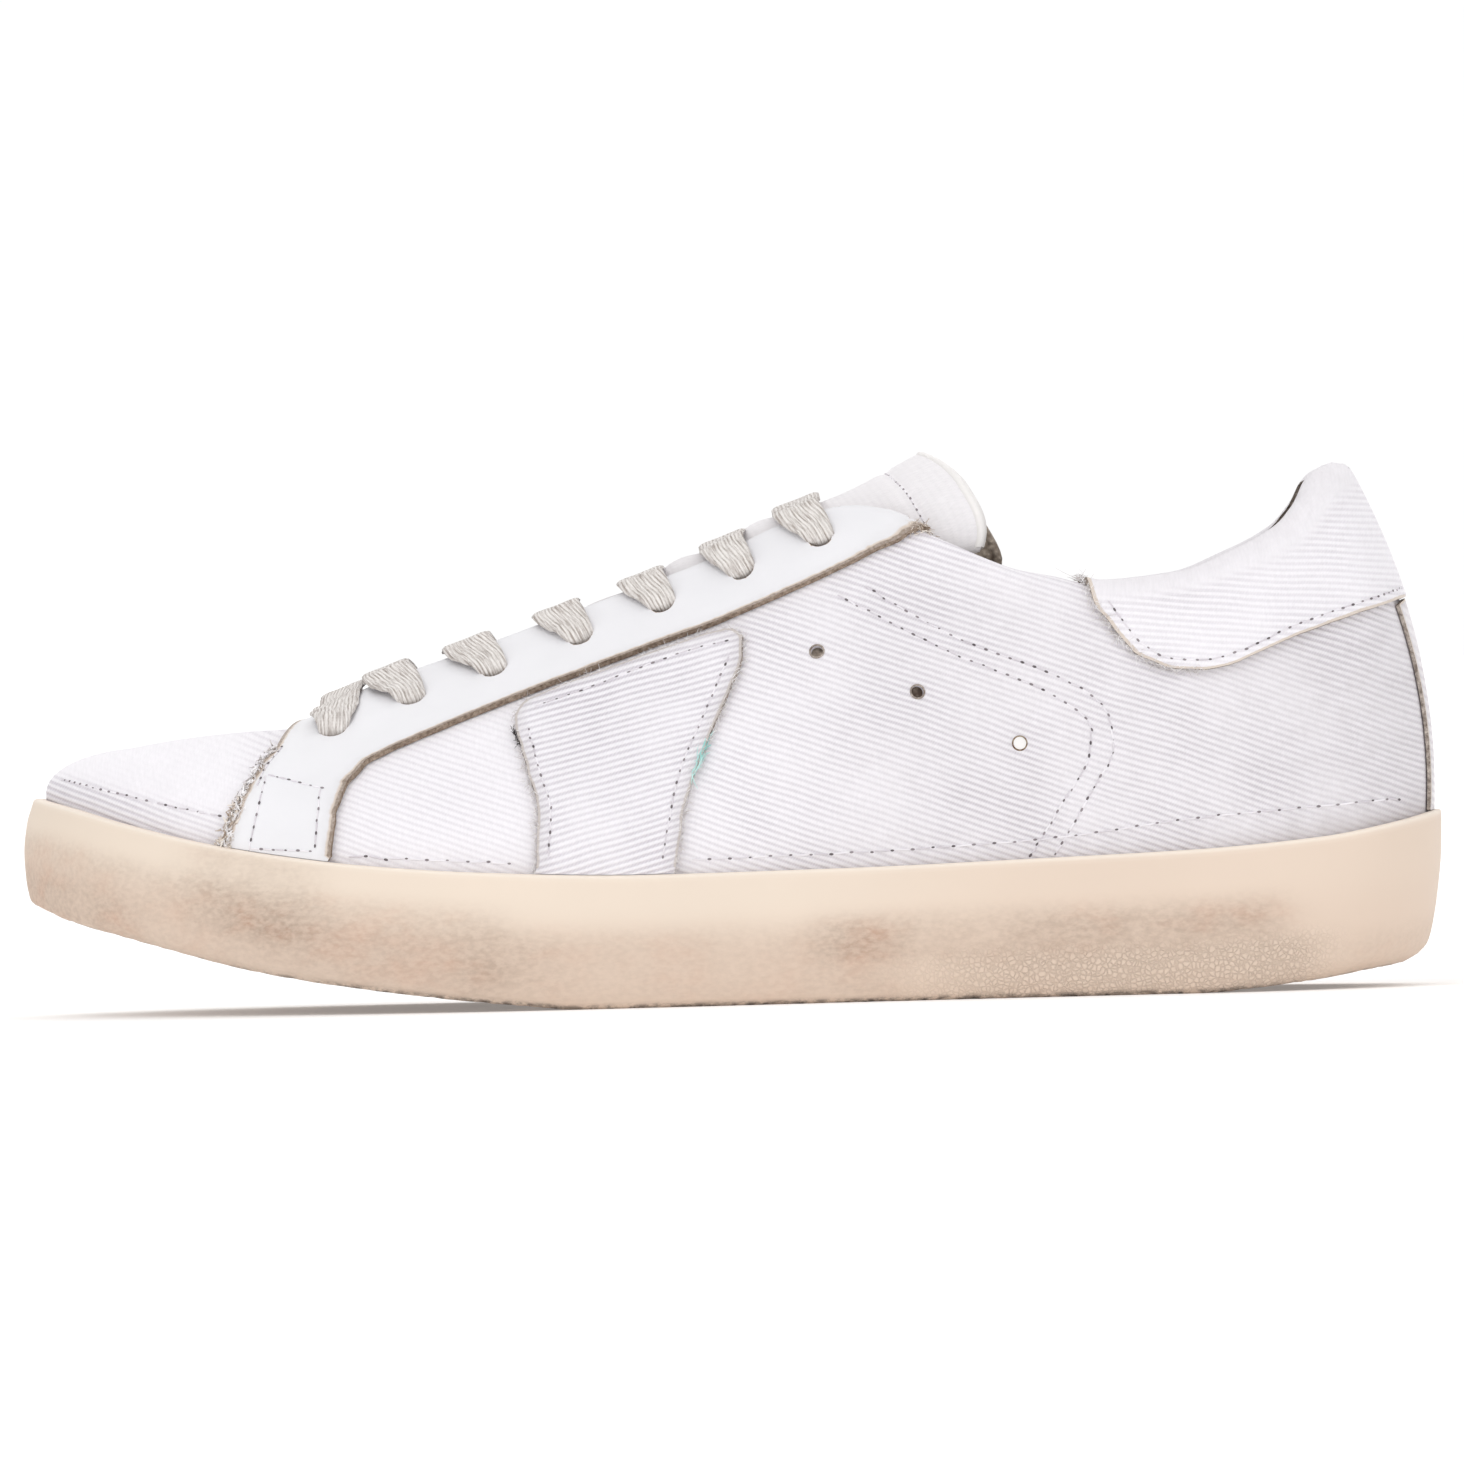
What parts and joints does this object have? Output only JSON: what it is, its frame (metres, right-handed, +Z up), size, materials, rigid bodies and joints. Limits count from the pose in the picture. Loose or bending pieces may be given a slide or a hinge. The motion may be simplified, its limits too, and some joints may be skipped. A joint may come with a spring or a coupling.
{
  "type": "low-top lace-up sneaker",
  "caption": "Worn low-cut lace-up sneaker for the left foot, with a thick cup sole, a ribbed white upper, a smooth eyestay with flat laces, a padded tongue and a heel tab.",
  "frame": {"origin": "on the floor under the middle of the shoe's outline", "axes": "+Z up; +X along the foot from toe to heel; -Y towards the outer side of the foot, +Y towards the inner side"},
  "size_m": [0.292, 0.103, 0.1121],
  "materials": {
    "cream_rubber": "aged matte cream rubber, scuffed",
    "terry_lining": "brushed terry lining",
    "white_twill": "matte ribbed cotton twill",
    "white_leather": "smooth matte leather",
    "cotton_lace": "flat woven cotton"
  },
  "bodies": {
    "root": {"cup_sole": "cream_rubber", "insole": "terry_lining", "upper": "white_twill", "tongue": "white_twill", "eyestay": "white_leather", "side_patch": "white_twill", "heel_tab": "white_twill", "back_strip": "white_twill", "lace_bar_1": "cotton_lace", "lace_bar_2": "cotton_lace", "lace_bar_3": "cotton_lace", "lace_bar_4": "cotton_lace", "lace_bar_5": "cotton_lace", "lace_bar_6": "cotton_lace", "lace_bar_7": "cotton_lace"}
  },
  "joints": []
}
